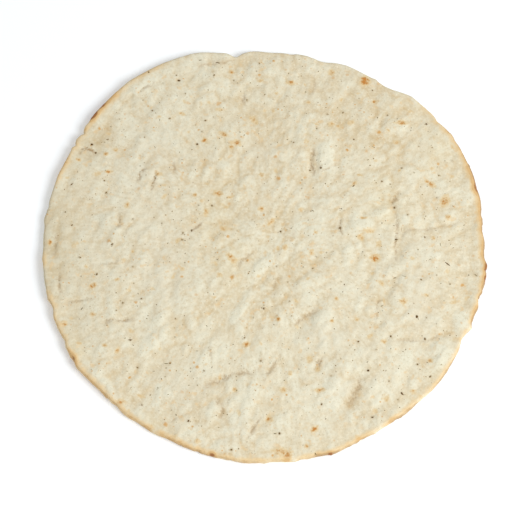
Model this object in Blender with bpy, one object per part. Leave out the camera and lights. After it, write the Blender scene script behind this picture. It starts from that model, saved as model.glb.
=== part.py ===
"""A thin round crust of cauliflower dough, baked flat and lying on its underside.

It is one piece. The outline is nearly a circle, with two low swells at the back, a sharp
nick between them, lower swells at the left and small chips and lumps round the rim. The top
is pressed dough: soft waves, raised pads and furrows. Units are metres, +Z is up, and the
origin is the middle of the underside.
"""

import math

import bmesh
import bpy
from mathutils import Vector, noise

# Driving dimensions
RADIUS = 0.1294  # of the round, before its swells, nicks, lumps and rag
THICKNESS = 0.0048  # of the dough inside the rim
RIM_MIDDLE = 0.42  # height of the rim's outermost line, as a share of the thickness
TOP_ROUND = 0.0012  # how far in from the rim the top edge is rounded
FOOT_ROUND = 0.0016  # the same for the lower edge
CURL_FROM = 0.90  # share of the radius outside which the rim may curl up off the table

# Outline, by the compass: degrees round from +X towards +Y
SWELLS = (  # start, full from, full to, end, and how far it stands out
    (-4, 26, 47, 55, 0.0049),
    (96, 112, 131, 158, 0.0069),
    (138, 152, 170, 181, 0.0012),
    (150, 160, 192, 206, 0.0007),
)
NICKS = (  # middle, half width, and depth; a negative depth is a small lump
    (3.6, 1.8, 0.0011),
    (37.0, 1.6, 0.0006),
    (50.3, 2.8, 0.0016),
    (73.0, 3.0, 0.0013),
    (98.0, 1.6, 0.0026),
    (146.5, 2.2, 0.0007),
    (198.0, 1.8, 0.0016),
    (207.3, 1.8, 0.0009),
    (213.0, 1.6, 0.0006),
    (226.0, 7.0, 0.0012),
    (236.0, 2.2, 0.0006),
    (245.0, 6.0, 0.0011),
    (305.0, 9.0, 0.0005),
    (332.5, 2.5, 0.0013),
    (111.5, 1.6, 0.0005),
    (1.0, 3.0, -0.0006),
    (11.0, 4.0, -0.0004),
    (32.0, 1.8, -0.0007),
    (66.5, 4.0, -0.0010),
    (93.0, 3.0, -0.0009),
    (124.5, 5.5, -0.0006),
    (156.5, 3.0, -0.0004),
    (214.0, 5.5, -0.0011),
    (265.5, 6.0, -0.0010),
    (278.0, 4.0, -0.0006),
    (287.0, 4.0, -0.0015),
    (318.0, 5.0, -0.0006),
    (351.0, 5.0, -0.0017),
)
RAG_DEPTH = 0.0005
RAG_LENGTH = 0.012

# Where the rim curls up: start, full from, full to, end, and how high
CURLS = (
    (120, 140, 152, 172, 0.0010),
    (172, 200, 214, 234, 0.0012),
    (330, 345, 360, 372, 0.0005),
)

# Raised pads of dough: x, y, length, width, heading of the long axis, and height
PADS = (
    (0.0365, 0.0625, 0.026, 0.013, 84, 0.0009),
    (0.0706, 0.0185, 0.011, 0.009, 30, 0.0006),
    (0.0870, 0.0130, 0.018, 0.011, 120, 0.0007),
    (0.0560, 0.0090, 0.014, 0.009, 20, 0.0007),
    (0.0725, -0.0020, 0.013, 0.008, 70, 0.0006),
    (0.0010, -0.0140, 0.026, 0.009, 33, 0.0008),
    (0.0345, -0.0470, 0.018, 0.011, 60, 0.0008),
    (0.0420, -0.0810, 0.022, 0.009, 62, 0.0009),
    (-0.0060, -0.0900, 0.026, 0.013, 68, 0.0008),
    (-0.0125, -0.0425, 0.030, 0.008, 68, 0.0006),
    (-0.0600, -0.0420, 0.042, 0.008, 84, 0.0006),
    (-0.0690, 0.0450, 0.015, 0.008, 72, 0.0006),
    (-0.0860, -0.0600, 0.024, 0.018, 20, 0.0005),
)

# Furrows: both ends, width across, and depth
FURROWS = (
    ((0.0297, 0.0612), (0.0290, 0.0450), 0.0065, 0.0004),
    ((0.0806, 0.0314), (0.0766, 0.0198), 0.0070, 0.0004),
    ((0.0490, 0.0165), (0.0450, 0.0110), 0.0060, 0.0003),
    ((0.0808, 0.0076), (0.0785, -0.0080), 0.0060, 0.0003),
    ((0.0140, -0.0020), (0.0163, -0.0225), 0.0055, 0.0002),
    ((-0.0120, 0.0990), (-0.0061, 0.0795), 0.0060, 0.0003),
    ((-0.0146, -0.0151), (-0.0094, -0.0082), 0.0055, 0.0002),
    ((0.0183, -0.0554), (0.0271, -0.0427), 0.0070, 0.0004),
    ((0.0294, -0.0773), (0.0341, -0.0685), 0.0060, 0.0003),
    ((0.0471, -0.0981), (0.0559, -0.0808), 0.0075, 0.0005),
    ((-0.0337, -0.0901), (-0.0242, -0.0820), 0.0060, 0.0003),
    ((-0.0242, -0.0820), (0.0023, -0.0773), 0.0060, 0.0003),
    ((-0.0241, -0.0941), (-0.0239, -0.1056), 0.0065, 0.0004),
    ((-0.0016, -0.1095), (0.0051, -0.1033), 0.0070, 0.0003),
    ((-0.0950, -0.0548), (-0.0804, -0.0470), 0.0055, 0.0002),
    ((-0.0530, -0.0207), (-0.0561, -0.0348), 0.0055, 0.0002),
    ((-0.0530, 0.0610), (-0.0530, 0.0430), 0.0055, 0.0002),
    ((-0.0870, 0.0220), (-0.0840, 0.0060), 0.0055, 0.0002),
    ((-0.0587, -0.0019), (-0.0355, 0.0114), 0.0055, 0.0002),
    ((-0.1130, 0.0580), (-0.1000, 0.0600), 0.0060, 0.0003),
    ((0.0820, 0.0070), (0.1230, 0.0134), 0.0075, 0.0003),
    ((0.0491, -0.0619), (0.0780, -0.0585), 0.0070, 0.0002),
    ((0.0780, -0.0585), (0.1145, -0.0548), 0.0070, 0.0003),
    ((0.0659, -0.0512), (0.0682, -0.0348), 0.0060, 0.0003),
)

# Soft waves of the pressed dough: length across, and height
WAVES = ((0.034, 0.0006), (0.019, 0.0007))
WAVE_HEADING = 62  # the waves are drawn out this way
WAVE_STRETCH = 1.7
WAVE_SEED = 11.3

# How sharply a pad's sides fall, and how gently a curl begins
PAD_POWER = 3
CURL_POWER = 1.5

# Mesh
CELLS = 60  # squares across the top
TOP_RINGS = (60, 30, 0)  # degrees down the rounded top edge; the first is the top's border
FOOT_RINGS = (40, 90)  # degrees down the rounded lower edge
SHARP_ANGLE = 40

# Finish
CRUST_COLOUR = (0.76, 0.69, 0.51, 1.0)
CRUST_ROUGHNESS = 0.8


def step(value, start, end):
    """0 up to start, 1 from end on, and a smooth rise between them."""
    share = min(1.0, max(0.0, (value - start) / (end - start)))
    return share * share * (3 - 2 * share)


def bell(distance, half_width):
    """1 at 0, falling smoothly, and near 0 past two half widths."""
    return math.exp(-((distance / half_width) ** 2))


def round_trip(degrees, middle):
    """How far one heading is from another, in degrees, the short way round."""
    return abs((degrees - middle + 180) % 360 - 180)


def raised(degrees, stretches):
    """The height, at a heading, of raised stretches that each rise, stay full and fall."""
    height = 0.0
    for start, full_from, full_to, end, tall in stretches:
        turned = start + (degrees - start) % 360
        height += tall * step(turned, start, full_from) * (1 - step(turned, full_to, end))
    return height


def outline(angle):
    """Distance from the middle to the rim's outermost line, at an angle in radians."""
    degrees = math.degrees(angle) % 360
    reach = RADIUS + raised(degrees, SWELLS)
    for middle, half_width, depth in NICKS:
        reach -= depth * bell(round_trip(degrees, middle), half_width)
    turns = RADIUS / RAG_LENGTH
    reach += RAG_DEPTH * noise.noise(Vector((math.cos(angle) * turns, math.sin(angle) * turns, 0.0)))
    return reach


def curl(angle, share):
    """How far the rim has curled up off the table, at a share of the way out."""
    return raised(math.degrees(angle) % 360, CURLS) * step(share, CURL_FROM, 1.0) ** CURL_POWER


def pad(x, y, middle_x, middle_y, length, width, heading, tall):
    """Height that one raised pad adds at a point."""
    turn = math.radians(heading)
    along = (x - middle_x) * math.cos(turn) + (y - middle_y) * math.sin(turn)
    across = (y - middle_y) * math.cos(turn) - (x - middle_x) * math.sin(turn)
    away = math.hypot(2 * along / length, 2 * across / width)
    return tall * math.exp(-(away ** PAD_POWER))


def furrow(x, y, start, end, width, depth):
    """Height that one furrow takes away at a point."""
    run = Vector(end) - Vector(start)
    offset = Vector((x, y)) - Vector(start)
    share = min(1.0, max(0.0, offset.dot(run) / run.length_squared))
    return depth * bell((offset - run * share).length, width / 2)


def waves(x, y):
    """Height of the dough's soft waves at a point."""
    turn = math.radians(WAVE_HEADING)
    along = (x * math.cos(turn) + y * math.sin(turn)) / WAVE_STRETCH
    across = y * math.cos(turn) - x * math.sin(turn)
    height = 0.0
    for length, tall in WAVES:
        height += tall * noise.noise(Vector((along / length, across / length, WAVE_SEED)))
    return height


def relief(x, y):
    """Height of the top above the plain thickness, at a point."""
    height = waves(x, y)
    for values in PADS:
        height += pad(x, y, *values)
    for values in FURROWS:
        height -= furrow(x, y, *values)
    return height


def top_height(x, y):
    """Height of the top at a point, rounded off next to the rim."""
    angle = math.atan2(y, x)
    reach = outline(angle)
    distance = math.hypot(x, y)
    inset = min(TOP_ROUND, reach - distance)
    shoulder = math.sqrt(max(0.0, 1 - (1 - inset / TOP_ROUND) ** 2))
    share = RIM_MIDDLE + (1 - RIM_MIDDLE) * shoulder
    return share * (THICKNESS + relief(x, y)) + curl(angle, distance / reach)


def disc(x, y):
    """Where a point of the square from -1 to 1 goes when each square ring is rounded to a circle."""
    if x == y == 0:
        return 0.0, 0.0
    if abs(x) >= abs(y):
        turn = math.pi / 4 * y / x
        return x * math.cos(turn), x * math.sin(turn)
    turn = math.pi / 4 * x / y
    return y * math.sin(turn), y * math.cos(turn)


def top_ring(degrees):
    """How far in and how high, as a share of the thickness, a point of the top edge's round is."""
    turn = math.radians(degrees)
    return TOP_ROUND * (1 - math.cos(turn)), RIM_MIDDLE + (1 - RIM_MIDDLE) * math.sin(turn)


def foot_ring(degrees):
    """The same for the lower edge's round."""
    turn = math.radians(degrees)
    return FOOT_ROUND * (1 - math.cos(turn)), RIM_MIDDLE * (1 - math.sin(turn))


def lay_top(mesh):
    """The top: a square grid rounded to the outline, each point at its height."""
    bmesh.ops.create_grid(mesh, x_segments=CELLS, y_segments=CELLS, size=1.0)
    border_inset, _ = top_ring(TOP_RINGS[0])
    for vertex in mesh.verts:
        x, y = disc(vertex.co.x, vertex.co.y)
        share = math.hypot(x, y)
        angle = math.atan2(y, x)
        # The outline's swells and nicks fade out towards the middle.
        reach = RADIUS + (outline(angle) - RADIUS) * share * share - border_inset
        x, y = reach * x, reach * y
        vertex.co = (x, y, top_height(x, y))


def add_ring(mesh, place):
    """Extrudes the open border by one ring, and puts each new point where place says."""
    border = [edge for edge in mesh.edges if edge.is_boundary]
    made = bmesh.ops.extrude_edge_only(mesh, edges=border)["geom"]
    for vertex in made:
        if isinstance(vertex, bmesh.types.BMVert):
            angle = math.atan2(vertex.co.y, vertex.co.x)
            reach, height = place(angle)
            vertex.co = (reach * math.cos(angle), reach * math.sin(angle), height)


def rim_place(inset, share):
    """Where a ring of the rim goes: so far in from the outline, at a share of the thickness."""

    def place(angle):
        reach = outline(angle)
        x, y = reach * math.cos(angle), reach * math.sin(angle)
        return reach - inset, share * (THICKNESS + relief(x, y)) + curl(angle, 1.0)

    return place


def under_place(share_out):
    """Where a ring of the underside goes: at a share of the way out, on the table or curled up."""
    return lambda angle: (share_out * outline(angle), curl(angle, share_out))


def centre(mesh):
    """Moves the crust so that the box round it has its middle over the origin."""
    for axis in (0, 1):
        places = [vertex.co[axis] for vertex in mesh.verts]
        middle = (min(places) + max(places)) / 2
        for vertex in mesh.verts:
            vertex.co[axis] -= middle


def crust_material():
    """Matt pale cream dough."""
    material = bpy.data.materials.new("crust")
    material.use_nodes = True
    shader = material.node_tree.nodes["Principled BSDF"]
    shader.inputs["Base Color"].default_value = CRUST_COLOUR
    shader.inputs["Roughness"].default_value = CRUST_ROUGHNESS
    shader.inputs["Metallic"].default_value = 0.0
    return material


def build_crust():
    """The crust as one closed mesh: the top, the rounded rim, and the flat underside."""
    mesh = bmesh.new()
    lay_top(mesh)
    for degrees in TOP_RINGS[1:]:
        add_ring(mesh, rim_place(*top_ring(degrees)))
    for degrees in FOOT_RINGS:
        add_ring(mesh, rim_place(*foot_ring(degrees)))
    for share_out in ((1 + CURL_FROM) / 2, CURL_FROM):
        add_ring(mesh, under_place(share_out))
    bmesh.ops.holes_fill(mesh, edges=[edge for edge in mesh.edges if edge.is_boundary])
    bmesh.ops.recalc_face_normals(mesh, faces=mesh.faces)
    centre(mesh)

    data = bpy.data.meshes.new("crust")
    mesh.to_mesh(data)
    mesh.free()
    data.shade_smooth()
    data.set_sharp_from_angle(angle=math.radians(SHARP_ANGLE))
    data.materials.append(crust_material())
    crust = bpy.data.objects.new("crust", data)
    bpy.context.scene.collection.objects.link(crust)
    return crust


def main():
    for old in list(bpy.data.objects):
        bpy.data.objects.remove(old)
    build_crust()


main()
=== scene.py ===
"""The looks of a cauliflower pizza crust: one thin round of dough, baked pale and browned at its rim.

The baked crust replaces the plain solid. It has the solid's outline, pads, furrows and curled rim,
and adds the fine kneading, the creases, the crumbly edge and the toasted spots. Ground pepper and
herb flecks lie half sunk in it. Everything is in metres.
"""

import math
import random

import bmesh
import bpy
import numpy as np
from mathutils import Matrix, Vector, noise


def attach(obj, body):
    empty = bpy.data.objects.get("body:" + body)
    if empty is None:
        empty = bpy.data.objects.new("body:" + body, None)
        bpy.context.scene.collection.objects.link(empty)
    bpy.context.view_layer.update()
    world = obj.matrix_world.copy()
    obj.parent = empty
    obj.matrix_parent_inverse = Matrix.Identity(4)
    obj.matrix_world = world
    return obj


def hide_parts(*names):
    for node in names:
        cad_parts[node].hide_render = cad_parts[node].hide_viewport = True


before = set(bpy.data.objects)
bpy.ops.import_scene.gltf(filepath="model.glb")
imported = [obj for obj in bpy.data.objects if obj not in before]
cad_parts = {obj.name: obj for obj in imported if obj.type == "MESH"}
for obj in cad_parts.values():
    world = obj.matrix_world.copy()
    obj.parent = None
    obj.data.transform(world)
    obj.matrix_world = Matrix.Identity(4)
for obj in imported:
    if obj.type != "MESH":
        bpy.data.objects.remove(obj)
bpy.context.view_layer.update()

MM = 0.001
FAR = 9.0  # beyond reach, in metres or in the half sizes of a mark
DRAW_SEED = 7

# The solid's driving dimensions, as the part has them
RADIUS = 0.1294
THICKNESS = 0.0048
RIM_MIDDLE = 0.42
TOP_ROUND = 0.0012
FOOT_ROUND = 0.0016
CURL_FROM = 0.90

# Headings here are in degrees, counterclockwise from the right as seen from above.
# Round the outline: where each swell starts, is full from and to, and ends, and how far it stands out;
# then the middle, half width and depth of each nick, whose depth is below 0 for a lump
SWELLS = (
    (-4, 26, 47, 55, 0.0049),
    (96, 112, 131, 158, 0.0069),
    (138, 152, 170, 181, 0.0012),
    (150, 160, 192, 206, 0.0007),
)
NICKS = (
    (3.6, 1.8, 0.0011),
    (37.0, 1.6, 0.0006),
    (50.3, 2.8, 0.0016),
    (73.0, 3.0, 0.0013),
    (98.0, 1.6, 0.0026),
    (146.5, 2.2, 0.0007),
    (198.0, 1.8, 0.0016),
    (207.3, 1.8, 0.0009),
    (213.0, 1.6, 0.0006),
    (226.0, 7.0, 0.0012),
    (236.0, 2.2, 0.0006),
    (245.0, 6.0, 0.0011),
    (305.0, 9.0, 0.0005),
    (332.5, 2.5, 0.0013),
    (111.5, 1.6, 0.0005),
    (1.0, 3.0, -0.0006),
    (11.0, 4.0, -0.0004),
    (32.0, 1.8, -0.0007),
    (66.5, 4.0, -0.0010),
    (93.0, 3.0, -0.0009),
    (124.5, 5.5, -0.0006),
    (156.5, 3.0, -0.0004),
    (214.0, 5.5, -0.0011),
    (265.5, 6.0, -0.0010),
    (278.0, 4.0, -0.0006),
    (287.0, 4.0, -0.0015),
    (318.0, 5.0, -0.0006),
    (351.0, 5.0, -0.0017),
)
RAG_DEPTH = 0.0005
RAG_LENGTH = 0.012

# Where the rim curls up, given as the swells are
CURLS = (
    (120, 140, 152, 172, 0.0010),
    (172, 200, 214, 234, 0.0012),
    (330, 345, 360, 372, 0.0005),
)

# The middle, length, width, heading and height of each pad; the ends, width and depth of each furrow
PADS = (
    (0.0365, 0.0625, 0.026, 0.013, 84, 0.0009),
    (0.0706, 0.0185, 0.011, 0.009, 30, 0.0006),
    (0.0870, 0.0130, 0.018, 0.011, 120, 0.0007),
    (0.0560, 0.0090, 0.014, 0.009, 20, 0.0007),
    (0.0725, -0.0020, 0.013, 0.008, 70, 0.0006),
    (0.0010, -0.0140, 0.026, 0.009, 33, 0.0008),
    (0.0345, -0.0470, 0.018, 0.011, 60, 0.0008),
    (0.0420, -0.0810, 0.022, 0.009, 62, 0.0009),
    (-0.0060, -0.0900, 0.026, 0.013, 68, 0.0008),
    (-0.0125, -0.0425, 0.030, 0.008, 68, 0.0006),
    (-0.0600, -0.0420, 0.042, 0.008, 84, 0.0006),
    (-0.0690, 0.0450, 0.015, 0.008, 72, 0.0006),
    (-0.0860, -0.0600, 0.024, 0.018, 20, 0.0005),
)

FURROWS = (
    ((0.0297, 0.0612), (0.0290, 0.0450), 0.0065, 0.0004),
    ((0.0806, 0.0314), (0.0766, 0.0198), 0.0070, 0.0004),
    ((0.0490, 0.0165), (0.0450, 0.0110), 0.0060, 0.0003),
    ((0.0808, 0.0076), (0.0785, -0.0080), 0.0060, 0.0003),
    ((0.0140, -0.0020), (0.0163, -0.0225), 0.0055, 0.0002),
    ((-0.0120, 0.0990), (-0.0061, 0.0795), 0.0060, 0.0003),
    ((-0.0146, -0.0151), (-0.0094, -0.0082), 0.0055, 0.0002),
    ((0.0183, -0.0554), (0.0271, -0.0427), 0.0070, 0.0004),
    ((0.0294, -0.0773), (0.0341, -0.0685), 0.0060, 0.0003),
    ((0.0471, -0.0981), (0.0559, -0.0808), 0.0075, 0.0005),
    ((-0.0337, -0.0901), (-0.0242, -0.0820), 0.0060, 0.0003),
    ((-0.0242, -0.0820), (0.0023, -0.0773), 0.0060, 0.0003),
    ((-0.0241, -0.0941), (-0.0239, -0.1056), 0.0065, 0.0004),
    ((-0.0016, -0.1095), (0.0051, -0.1033), 0.0070, 0.0003),
    ((-0.0950, -0.0548), (-0.0804, -0.0470), 0.0055, 0.0002),
    ((-0.0530, -0.0207), (-0.0561, -0.0348), 0.0055, 0.0002),
    ((-0.0530, 0.0610), (-0.0530, 0.0430), 0.0055, 0.0002),
    ((-0.0870, 0.0220), (-0.0840, 0.0060), 0.0055, 0.0002),
    ((-0.0587, -0.0019), (-0.0355, 0.0114), 0.0055, 0.0002),
    ((-0.1130, 0.0580), (-0.1000, 0.0600), 0.0060, 0.0003),
    ((0.0820, 0.0070), (0.1230, 0.0134), 0.0075, 0.0003),
    ((0.0491, -0.0619), (0.0780, -0.0585), 0.0070, 0.0002),
    ((0.0780, -0.0585), (0.1145, -0.0548), 0.0070, 0.0003),
    ((0.0659, -0.0512), (0.0682, -0.0348), 0.0060, 0.0003),
)

WAVES = ((0.034, 0.0006), (0.019, 0.0007))
WAVE_HEADING = 62
WAVE_STRETCH = 1.7
WAVE_SEED = 11.3
PAD_POWER = 3
CURL_POWER = 1.5

# What the solid leaves out, each with a length, a height and a seed: the soft lumps of the top with
# a valley between each two, its crumbs, the crumbly rim and the dimpled underside
LUMPS = ((0.0170, 0.00130, 13.0), (0.0092, 0.00100, 21.0), (0.0054, 0.00044, 33.0))
LUMP_STRETCH = 1.35  # they are drawn out too, and steeper on their left
LUMP_LEAN = 0.35
LEAST_LUMP = 0.6  # share of its height that a lump keeps where the valleys are smoothed away
CRUMBS = ((0.0036, 0.00017, 41.0), (0.0021, 0.00010, 57.0))
VALLEY_WIDTH = 0.10  # as a share of a lump's length
# Valleys are clear in some places and smoothed away in others, by waves: their length and seed, and
# the values at which valleys start to show and are clear
VALLEYS_CLEAR = (0.030, 5.0, -0.35, 0.35)
CREASE_STEP = 0.00060
CREASE_BREAK = 0.0045  # length over which creases are clear and faint by turns, and sway
CREASE_MEAN = 0.75  # how clear they are, and how much more or less by turns
CREASE_SWING = 0.9
CREASE_SWAY = 0.0012
CREASE_SEEDS = (27.0, 29.0, 9.0)  # of the sway along x and y, and of the breaks
CREASE_END = 3.5  # half widths from a crease at which it ends
CREASE_REACH = 4  # distances from a crease are held within so many half widths
PLATE_HEIGHT = 0.00034
PLATE_EDGE = (0.6, 1.2)  # a plate ends between these shares of its half size
PLATE_UNEVEN = 0.5  # how far that edge wanders, in shares too
PLATE_LENGTH = 0.0050  # over which it wanders
PLATE_SEED = 17.0
RIM_CRUMBS = ((0.0062, 0.00050, 61.0), (0.0027, 0.00045, 67.0), (0.0013, 0.00022, 71.0))
RIM_RAGGED = (0.016, 3.0, -0.2, 0.4)  # the rim is smooth or ragged by waves too, given as the valleys' are
LEAST_RAGGED = 0.35  # share of the crumbs' height on the smooth rim, and how much more on the ragged
RAGGED_GAIN = 0.95
CHIPS = (  # finer nicks and lumps, given as the nicks are
    (8.5, 1.0, 0.0005), (15.5, 0.8, 0.0004), (31.8, 0.8, -0.0004), (37.2, 0.7, 0.0004),
    (57.6, 0.8, -0.0005), (82.6, 1.0, 0.0005), (144.7, 0.9, -0.0008), (146.7, 0.5, 0.0011),
    (148.8, 0.9, -0.0006), (150.8, 0.6, 0.0010), (152.0, 0.5, -0.0005), (169.5, 0.8, 0.0006),
    (173.0, 1.2, -0.0006), (184.0, 1.6, -0.0005), (208.0, 1.0, 0.0004), (213.1, 0.7, 0.0005),
    (286.6, 0.5, -0.0006), (334.6, 0.5, 0.0006), (336.6, 0.5, -0.0006), (342.2, 1.3, -0.0008),
    (344.5, 0.5, 0.0005), (346.3, 0.5, -0.0005), (352.6, 0.4, 0.0006), (354.2, 1.0, -0.0009),
)
GOLDEN_BAND = 0.0031
BAND_GROWTH = 0.24  # as a share: how much wider the band is at the back, and narrower at the front
BROWN_LINE = 0.0010
# The brown line is partly browning and partly painted shade: strongest towards the lamp, it tones down the
# lamp's light on the rim.
LINE_MEAN = 0.75  # how strong the brown line is on average, and how much more or less on its way round
LINE_SWING = 0.70
LINE_STRONGEST_HEADING = 350  # the heading at which it is strongest
# On the lower side of the rim the line is partly painted shade where the rim meets the floor.
SIDE_LINE = 1.40  # how much of it the lower side of the rim has
SIDE_TOAST = 0.15  # how much of the underside's toasting the lower side of the rim has
UNDER_BROWN = 0.8  # how browned the underside is at its border
UNDER_BROWN_FROM = 0.9  # share of the way out from which it is browned
PATCH_TONE = 0.80  # how much the browner and paler patches change the dough's tone
PLATE_TONE = 1.70  # how much the plates lighten it
PLAIN_LUMPS = 0.3  # the value of the lumps' waves where there are none
LEAST_GOLDEN = 0.10
GOLDEN_RIM = (  # where the rim is golden, and how much, given as the swells are
    (342, 349, 363, 367, 0.90), (3, 7, 22, 26, 0.95), (12, 15, 20, 23, 0.25), (22, 26, 32, 39, 0.62),
    (33, 37, 41, 47, 0.30), (115, 119, 131, 134, 0.40), (130, 134, 142, 145, 1.00),
    (145, 148, 160, 166, 0.40), (152, 155, 161, 164, 0.20), (181, 184, 186, 188, 0.40),
    (187, 189, 191, 193, -0.08), (192, 195, 206, 210, 0.52),
    (209, 213, 226, 229, 0.66), (226, 230, 240, 243, 0.56), (241, 244, 257, 260, 0.68),
    (257, 260, 267, 272, 0.50), (268, 271, 274, 277, 0.32), (277, 279, 281, 283, 0.35),
    (281, 284, 287, 289, 0.80), (287, 289, 297, 300, 0.48), (298, 300, 301, 303, 0.12),
    (301, 304, 311, 314, 0.50), (312, 315, 316, 318, 0.20), (316, 319, 327, 329, 0.42),
    (327, 330, 335, 337, 0.24), (336, 338, 342, 344, 0.76), (343, 344, 346, 348, 0.26),
)
UNDER_DIMPLES = ((0.0060, 0.00012, 83.0), (0.0028, 0.00006, 89.0))

# The mesh
TOP_CELLS = 264  # squares across the top; the underside has half as many
TOP_RINGS = (60, 45, 30, 15, 0)
FOOT_RINGS = (20, 45, 90)
UNDER_INSET = 0.0030

# The camera: a long lens looking steeply down from the front
LENS = 85.0
SENSOR = 36.0
ELEVATION = math.radians(69)
DISTANCE = 0.7328
AIM = Vector((0.0007, -0.0131, 0.0033))
PICTURE = 530  # pixels along each side of the picture
PIXEL = 0.000586  # metres on the crust for each pixel

# What the picture shows, in its pixels: across, down, half length, half width, heading, strength.
# The toasted spots
TOASTED_SEEN = (
    (375, 258.5, 4, 3, 0, 1.15), (365, 81.5, 3.9, 3.8, 0, 1.5), (444.7, 201.3, 4.9, 3.4, 60, 1.1),
    (314.4, 429, 2.8, 2.2, 30, 1.1), (246.7, 344.4, 2.5, 2.2, 0, 1.15), (92.7, 286, 3.2, 2.2, 35, 1),
    (384, 341.6, 2.3, 1.8, 0, 0.75), (218, 193.4, 3.8, 2.4, -10, 0.95), (230, 197, 3.4, 1.8, 10, 0.5),
    (236.6, 143.4, 4.4, 3, 0, 0.85), (231.5, 147, 2.2, 1.8, 0, 0.7), (223.5, 135, 5.5, 2.2, -25, 0.6),
    (204.4, 140.6, 2.2, 2, 0, 1.1), (78.7, 159.7, 2, 1.5, -20, 1.1), (108.7, 171.9, 2.8, 1.7, 0, 1),
    (98, 173.7, 4.2, 2.2, 20, 0.45), (105.9, 154, 2, 1.8, 0, 0.8), (115.9, 150, 1.8, 1.7, 0, 0.7),
    (182, 114.4, 2.8, 1.6, -20, 0.6), (158.7, 174.4, 2.8, 2.2, 0, 0.55), (231.3, 72.4, 2.6, 2, -20, 0.85),
    (260.6, 81.4, 2.4, 1.8, 0, 0.7), (290.6, 83, 3.4, 2.1, 0, 0.85), (331.6, 72.6, 2.8, 3, 0, 0.75),
    (276.9, 94, 1.7, 1.4, 0, 0.6), (308.4, 103, 1.8, 1.5, 0, 0.75), (273.3, 110.9, 1.5, 2.3, 0, 0.55),
    (219.7, 110, 3.6, 1.6, 0, 0.6), (253.5, 120, 5, 2.4, -55, 0.7), (331.8, 124.4, 3, 2.4, 0, 0.75),
    (337.5, 126.5, 2, 1.5, 0, 0.6), (306.6, 142, 2, 2, 0, 0.5), (261.9, 174.9, 2.4, 2, 0, 0.7),
    (374.4, 102, 2.3, 1.8, 10, 0.95), (401.3, 123.3, 5.4, 2.2, 0, 0.95),
    (409.9, 111.6, 2.8, 1.7, -20, 0.45), (350.9, 123.3, 3.2, 2.6, 0, 0.6), (395.8, 142.6, 3, 2, 0, 0.75),
    (427, 181.8, 1.8, 1.6, 0, 0.8), (431.5, 184.8, 3.8, 2.3, -30, 0.95), (359.5, 175.5, 2.8, 1.6, 0, 0.5),
    (353.7, 184.4, 2.8, 1.6, 45, 0.85), (50, 242.6, 1.7, 2.4, 0, 1.1), (75.4, 245, 3, 3.6, 0, 0.42),
    (86.3, 266.6, 1.8, 1.8, 0, 0.6), (117.6, 280, 2.4, 1.5, 15, 0.6), (129, 290.6, 2.2, 1.4, 0, 0.5),
    (92.7, 314.4, 2.2, 2.1, 0, 0.75), (127.5, 206, 2.4, 3.6, -20, 0.55), (177.3, 240.9, 3, 1.9, 40, 0.5),
    (182.3, 269.4, 1.9, 1.8, 0, 0.6), (63.5, 323.4, 2.8, 2.4, 0, 0.85), (194.9, 195, 1.6, 2, 0, 0.8),
    (205.9, 212.6, 2, 3.4, 0, 0.7), (261, 209, 2.1, 1.9, 0, 0.95), (271, 222, 3.8, 1.9, 50, 0.85),
    (223.4, 228.6, 2.6, 2.2, 0, 0.75), (285, 247.7, 2.2, 2.6, 0, 0.8), (278, 248.7, 2.3, 2, 0, 0.5),
    (232, 259, 5.2, 2.6, -45, 0.85), (301, 209.7, 1.8, 1.7, 0, 0.75), (311.6, 252.7, 2.1, 2.8, 0, 0.7),
    (278.4, 319.4, 2, 1.8, 0, 0.95), (331.6, 321.6, 1.8, 1.5, 20, 0.65), (336.6, 299, 1.9, 1.5, 0, 0.7),
    (295.9, 301, 2.4, 1.3, -30, 0.5), (369, 231, 4.6, 2.5, 0, 0.65), (360.6, 237.8, 3, 2.6, -30, 0.65),
    (379, 244.4, 2.4, 3.6, -10, 0.55), (448, 217.7, 2.2, 2.4, 0, 0.7), (433, 238.4, 1.8, 1.8, 0, 0.7),
    (380.9, 283.4, 3, 1.8, -35, 0.75), (363.7, 218.4, 3, 1.1, 0, 0.8), (403, 302, 3.6, 2.8, 10, 0.65),
    (425.9, 295.9, 2.1, 1.6, 0, 0.6), (453, 302.3, 4.6, 1.7, 0, 0.5), (356.6, 319.4, 2.2, 1.9, 0, 0.5),
    (283.4, 390, 2.4, 2.3, 0, 0.85), (320.4, 390.3, 3.6, 1.9, 10, 0.8), (235, 390, 2.1, 1.8, 0, 0.8),
    (290.4, 373.6, 1.5, 2, 0, 0.9), (309.8, 360, 2.1, 3.2, 0, 0.7), (317.7, 369, 1.9, 2.8, -15, 0.6),
    (269.3, 419.4, 3.2, 3.4, 0, 0.7), (197.3, 441.6, 2.6, 2, 0, 0.55), (306.3, 446.6, 1.5, 1.8, 0, 1),
    (117.4, 351, 2.8, 1.6, 60, 0.95), (78.7, 343.3, 2, 1.3, -10, 0.7), (105, 345.9, 2.8, 1.7, -15, 0.65),
    (118.7, 403, 4.6, 2.5, 15, 1.15), (430.3, 360.7, 2.1, 1.8, 0, 0.9), (413.3, 391.6, 2.4, 2.1, 0, 0.65),
    (385.9, 398.7, 3.6, 3.8, 0, 0.4), (375, 411.7, 2.1, 2, 0, 0.65), (287, 456, 4.2, 3, 60, 1.25),
    (281.5, 452.5, 7, 3, -5, 0.85),
)
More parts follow.
